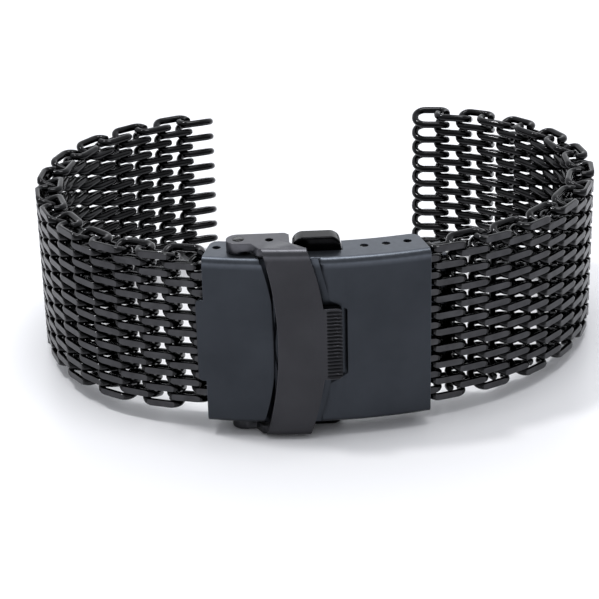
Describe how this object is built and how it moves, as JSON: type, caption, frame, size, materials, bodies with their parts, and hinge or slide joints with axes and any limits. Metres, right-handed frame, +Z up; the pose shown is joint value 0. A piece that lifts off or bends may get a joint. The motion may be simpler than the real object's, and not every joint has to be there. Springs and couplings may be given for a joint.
{
  "type": "shark mesh bracelet",
  "caption": "Black steel watch bracelet of interlinked flat wire coils with a double locking fold-over clasp, two push buttons and a flip lock.",
  "frame": {"origin": "under the middle of the bracelet's box, at the level of its lowest point", "axes": "+X along the clasp's chord, to the right seen from the front; +Y from the clasp towards the watch; +Z up, along the mesh's height"},
  "size_m": [0.0754, 0.0567, 0.026],
  "materials": {
    "mesh": "glossy black coated stainless wire, outer faces ground flat",
    "cover": "satin black coated stainless sheet",
    "lock": "satin black coated stainless sheet",
    "button": "glossy black coated stainless",
    "blade": "satin black coated stainless sheet",
    "pin": "bare turned stainless",
    "spring": "bare spring wire"
  },
  "bodies": {
    "cover": {"clasp_cover": "cover", "flip_lock_pins": "pin", "top_button_spring": "spring", "bottom_button_spring": "spring", "cover_bar_tubes": "pin", "cover_bar_tips": "pin", "cover_bar_springs": "spring"},
    "flip_lock": {"flip_lock": "lock"},
    "top_button": {"top_button": "button"},
    "bottom_button": {"bottom_button": "button"},
    "outer_blade": {"outer_blade": "blade", "fold_pin": "pin"},
    "inner_blade": {"inner_blade": "blade", "strap_bar_tube": "pin", "strap_bar_tips": "pin", "strap_bar_spring": "spring", "left_link_22": "mesh"},
    "right_end_links": {"right_end_links": "mesh"},
    "right_link_21": {"right_link_21": "mesh"},
    "right_link_20": {"right_link_20": "mesh"},
    "right_link_19": {"right_link_19": "mesh"},
    "right_link_18": {"right_link_18": "mesh"},
    "right_link_17": {"right_link_17": "mesh"},
    "right_link_16": {"right_link_16": "mesh"},
    "right_link_15": {"right_link_15": "mesh"},
    "right_link_14": {"right_link_14": "mesh"},
    "right_link_13": {"right_link_13": "mesh"},
    "right_link_12": {"right_link_12": "mesh"},
    "right_link_11": {"right_link_11": "mesh"},
    "right_link_10": {"right_link_10": "mesh"},
    "right_link_09": {"right_link_09": "mesh"},
    "right_link_08": {"right_link_08": "mesh"},
    "right_link_07": {"right_link_07": "mesh"},
    "right_link_06": {"right_link_06": "mesh"},
    "right_link_05": {"right_link_05": "mesh"},
    "right_link_04": {"right_link_04": "mesh"},
    "right_link_03": {"right_link_03": "mesh"},
    "right_link_02": {"right_link_02": "mesh"},
    "right_link_01": {"right_link_01": "mesh"},
    "left_link_21": {"left_link_21": "mesh"},
    "left_link_20": {"left_link_20": "mesh"},
    "left_link_19": {"left_link_19": "mesh"},
    "left_link_18": {"left_link_18": "mesh"},
    "left_link_17": {"left_link_17": "mesh"},
    "left_link_16": {"left_link_16": "mesh"},
    "left_link_15": {"left_link_15": "mesh"},
    "left_link_14": {"left_link_14": "mesh"},
    "left_link_13": {"left_link_13": "mesh"},
    "left_link_12": {"left_link_12": "mesh"},
    "left_link_11": {"left_link_11": "mesh"},
    "left_link_10": {"left_link_10": "mesh"},
    "left_link_09": {"left_link_09": "mesh"},
    "left_link_08": {"left_link_08": "mesh"},
    "left_link_07": {"left_link_07": "mesh"},
    "left_link_06": {"left_link_06": "mesh"},
    "left_link_05": {"left_link_05": "mesh"},
    "left_link_04": {"left_link_04": "mesh"},
    "left_link_03": {"left_link_03": "mesh"},
    "left_link_02": {"left_link_02": "mesh"},
    "left_link_01": {"left_link_01": "mesh"}
  },
  "joints": [
    {"name": "flip_lock_hinge", "type": "hinge", "parent": "cover", "child": "flip_lock", "pos_m": [-0.01091, -0.02393, 0.013], "axis": [0, 0, 1], "range_deg": [-105, 0]},
    {"name": "top_button_push", "type": "slide", "parent": "cover", "child": "top_button", "axis": [0, 0, -1], "range_m": [0, 0.0008], "stiffness_N_per_m": 600, "springref_m": -0.0006, "deforming": ["top_button_spring"]},
    {"name": "bottom_button_push", "type": "slide", "parent": "cover", "child": "bottom_button", "axis": [0, 0, 1], "range_m": [0, 0.0008], "stiffness_N_per_m": 600, "springref_m": -0.0006, "deforming": ["bottom_button_spring"]},
    {"name": "blade_hinge", "type": "hinge", "parent": "cover", "child": "outer_blade", "pos_m": [0.00458, -0.02384, 0.013], "axis": [0, 0, 1], "range_deg": [0, 95]},
    {"name": "fold_hinge", "type": "hinge", "parent": "outer_blade", "child": "inner_blade", "pos_m": [0.01572, -0.01792, 0.013], "axis": [0, 0, 1], "range_deg": [-95, 0]},
    {"name": "right_end_hinge", "type": "hinge", "parent": "cover", "child": "right_end_links", "pos_m": [0.0073, -0.02346, 0.013], "axis": [0, 0, 1], "range_deg": [-4, 0.4]},
    {"name": "right_hinge_21", "type": "hinge", "parent": "right_end_links", "child": "right_link_21", "pos_m": [0.01321, -0.02217, 0.013], "axis": [0, 0, 1], "range_deg": [-11.53, 0.5]},
    {"name": "right_hinge_20", "type": "hinge", "parent": "right_link_21", "child": "right_link_20", "pos_m": [0.01636, -0.02117, 0.013], "axis": [0, 0, 1], "range_deg": [-12.5, 2]},
    {"name": "right_hinge_19", "type": "hinge", "parent": "right_link_20", "child": "right_link_19", "pos_m": [0.01941, -0.01993, 0.013], "axis": [0, 0, 1], "range_deg": [-13, 7.5]},
    {"name": "right_hinge_18", "type": "hinge", "parent": "right_link_19", "child": "right_link_18", "pos_m": [0.02235, -0.01843, 0.013], "axis": [0, 0, 1], "range_deg": [-14, 6.5]},
    {"name": "right_hinge_17", "type": "hinge", "parent": "right_link_18", "child": "right_link_17", "pos_m": [0.02512, -0.01663, 0.013], "axis": [0, 0, 1], "range_deg": [-14.5, 6]},
    {"name": "right_hinge_16", "type": "hinge", "parent": "right_link_17", "child": "right_link_16", "pos_m": [0.02766, -0.01452, 0.013], "axis": [0, 0, 1], "range_deg": [-15, 5.5]},
    {"name": "right_hinge_15", "type": "hinge", "parent": "right_link_16", "child": "right_link_15", "pos_m": [0.02993, -0.01213, 0.013], "axis": [0, 0, 1], "range_deg": [-15, 5.5]},
    {"name": "right_hinge_14", "type": "hinge", "parent": "right_link_15", "child": "right_link_14", "pos_m": [0.03189, -0.00947, 0.013], "axis": [0, 0, 1], "range_deg": [-15, 5.5]},
    {"name": "right_hinge_13", "type": "hinge", "parent": "right_link_14", "child": "right_link_13", "pos_m": [0.03351, -0.0066, 0.013], "axis": [0, 0, 1], "range_deg": [-15.5, 5]},
    {"name": "right_hinge_12", "type": "hinge", "parent": "right_link_13", "child": "right_link_12", "pos_m": [0.03474, -0.00354, 0.013], "axis": [0, 0, 1], "range_deg": [-15.5, 5]},
    {"name": "right_hinge_11", "type": "hinge", "parent": "right_link_12", "child": "right_link_11", "pos_m": [0.03556, -0.00034, 0.013], "axis": [0, 0, 1], "range_deg": [-16, 4.5]},
    {"name": "right_hinge_10", "type": "hinge", "parent": "right_link_11", "child": "right_link_10", "pos_m": [0.03593, 0.00294, 0.013], "axis": [0, 0, 1], "range_deg": [-16, 4.5]},
    {"name": "right_hinge_09", "type": "hinge", "parent": "right_link_10", "child": "right_link_09", "pos_m": [0.03584, 0.00624, 0.013], "axis": [0, 0, 1], "range_deg": [-16.5, 4]},
    {"name": "right_hinge_08", "type": "hinge", "parent": "right_link_09", "child": "right_link_08", "pos_m": [0.03526, 0.00949, 0.013], "axis": [0, 0, 1], "range_deg": [-16.5, 4]},
    {"name": "right_hinge_07", "type": "hinge", "parent": "right_link_08", "child": "right_link_07", "pos_m": [0.03421, 0.01261, 0.013], "axis": [0, 0, 1], "range_deg": [-16.5, 4]},
    {"name": "right_hinge_06", "type": "hinge", "parent": "right_link_07", "child": "right_link_06", "pos_m": [0.03271, 0.01555, 0.013], "axis": [0, 0, 1], "range_deg": [-17, 3.5]},
    {"name": "right_hinge_05", "type": "hinge", "parent": "right_link_06", "child": "right_link_05", "pos_m": [0.03076, 0.01822, 0.013], "axis": [0, 0, 1], "range_deg": [-17, 3.5]},
    {"name": "right_hinge_04", "type": "hinge", "parent": "right_link_05", "child": "right_link_04", "pos_m": [0.02843, 0.02055, 0.013], "axis": [0, 0, 1], "range_deg": [-17, 3.5]},
    {"name": "right_hinge_03", "type": "hinge", "parent": "right_link_04", "child": "right_link_03", "pos_m": [0.02575, 0.02249, 0.013], "axis": [0, 0, 1], "range_deg": [-17.5, 3]},
    {"name": "right_hinge_02", "type": "hinge", "parent": "right_link_03", "child": "right_link_02", "pos_m": [0.0228, 0.02395, 0.013], "axis": [0, 0, 1], "range_deg": [-17.5, 3]},
    {"name": "right_hinge_01", "type": "hinge", "parent": "right_link_02", "child": "right_link_01", "pos_m": [0.01964, 0.02491, 0.013], "axis": [0, 0, 1], "range_deg": [-17.5, 3]},
    {"name": "left_hinge_21", "type": "hinge", "parent": "inner_blade", "child": "left_link_21", "pos_m": [-0.01627, -0.0221, 0.013], "axis": [0, 0, 1], "range_deg": [-11.5, 9]},
    {"name": "left_hinge_20", "type": "hinge", "parent": "left_link_21", "child": "left_link_20", "pos_m": [-0.01945, -0.02123, 0.013], "axis": [0, 0, 1], "range_deg": [-8.5, 12]},
    {"name": "left_hinge_19", "type": "hinge", "parent": "left_link_20", "child": "left_link_19", "pos_m": [-0.02256, -0.02014, 0.013], "axis": [0, 0, 1], "range_deg": [-6, 14.5]},
    {"name": "left_hinge_18", "type": "hinge", "parent": "left_link_19", "child": "left_link_18", "pos_m": [-0.02553, -0.0187, 0.013], "axis": [0, 0, 1], "range_deg": [-3, 17.5]},
    {"name": "left_hinge_17", "type": "hinge", "parent": "left_link_18", "child": "left_link_17", "pos_m": [-0.02823, -0.01679, 0.013], "axis": [0, 0, 1], "range_deg": [-1.5, 19]},
    {"name": "left_hinge_16", "type": "hinge", "parent": "left_link_17", "child": "left_link_16", "pos_m": [-0.03051, -0.0144, 0.013], "axis": [0, 0, 1], "range_deg": [-3, 17.5]},
    {"name": "left_hinge_15", "type": "hinge", "parent": "left_link_16", "child": "left_link_15", "pos_m": [-0.03236, -0.01167, 0.013], "axis": [0, 0, 1], "range_deg": [-4, 16.5]},
    {"name": "left_hinge_14", "type": "hinge", "parent": "left_link_15", "child": "left_link_14", "pos_m": [-0.03379, -0.0087, 0.013], "axis": [0, 0, 1], "range_deg": [-5.5, 15]},
    {"name": "left_hinge_13", "type": "hinge", "parent": "left_link_14", "child": "left_link_13", "pos_m": [-0.03485, -0.00557, 0.013], "axis": [0, 0, 1], "range_deg": [-6.5, 14]},
    {"name": "left_hinge_12", "type": "hinge", "parent": "left_link_13", "child": "left_link_12", "pos_m": [-0.03557, -0.00235, 0.013], "axis": [0, 0, 1], "range_deg": [-6, 14.5]},
    {"name": "left_hinge_11", "type": "hinge", "parent": "left_link_12", "child": "left_link_11", "pos_m": [-0.03592, 0.00093, 0.013], "axis": [0, 0, 1], "range_deg": [-5.5, 15]},
    {"name": "left_hinge_10", "type": "hinge", "parent": "left_link_11", "child": "left_link_10", "pos_m": [-0.03588, 0.00423, 0.013], "axis": [0, 0, 1], "range_deg": [-5, 15.5]},
    {"name": "left_hinge_09", "type": "hinge", "parent": "left_link_10", "child": "left_link_09", "pos_m": [-0.0354, 0.00749, 0.013], "axis": [0, 0, 1], "range_deg": [-5, 15.5]},
    {"name": "left_hinge_08", "type": "hinge", "parent": "left_link_09", "child": "left_link_08", "pos_m": [-0.0345, 0.01067, 0.013], "axis": [0, 0, 1], "range_deg": [-4.5, 16]},
    {"name": "left_hinge_07", "type": "hinge", "parent": "left_link_08", "child": "left_link_07", "pos_m": [-0.03317, 0.01369, 0.013], "axis": [0, 0, 1], "range_deg": [-4.5, 16]},
    {"name": "left_hinge_06", "type": "hinge", "parent": "left_link_07", "child": "left_link_06", "pos_m": [-0.03143, 0.01649, 0.013], "axis": [0, 0, 1], "range_deg": [-4, 16.5]},
    {"name": "left_hinge_05", "type": "hinge", "parent": "left_link_06", "child": "left_link_05", "pos_m": [-0.02929, 0.01901, 0.013], "axis": [0, 0, 1], "range_deg": [-4, 16.5]},
    {"name": "left_hinge_04", "type": "hinge", "parent": "left_link_05", "child": "left_link_04", "pos_m": [-0.02681, 0.02118, 0.013], "axis": [0, 0, 1], "range_deg": [-4.5, 16]},
    {"name": "left_hinge_03", "type": "hinge", "parent": "left_link_04", "child": "left_link_03", "pos_m": [-0.02405, 0.02298, 0.013], "axis": [0, 0, 1], "range_deg": [-6, 14.5]},
    {"name": "left_hinge_02", "type": "hinge", "parent": "left_link_03", "child": "left_link_02", "pos_m": [-0.0211, 0.02447, 0.013], "axis": [0, 0, 1], "range_deg": [-7, 13.5]},
    {"name": "left_hinge_01", "type": "hinge", "parent": "left_link_02", "child": "left_link_01", "pos_m": [-0.01802, 0.02566, 0.013], "axis": [0, 0, 1], "range_deg": [-8.5, 12]}
  ],
  "couplings": [
    {"joint": "fold_hinge", "follows": "blade_hinge", "ratio": -1}
  ]
}
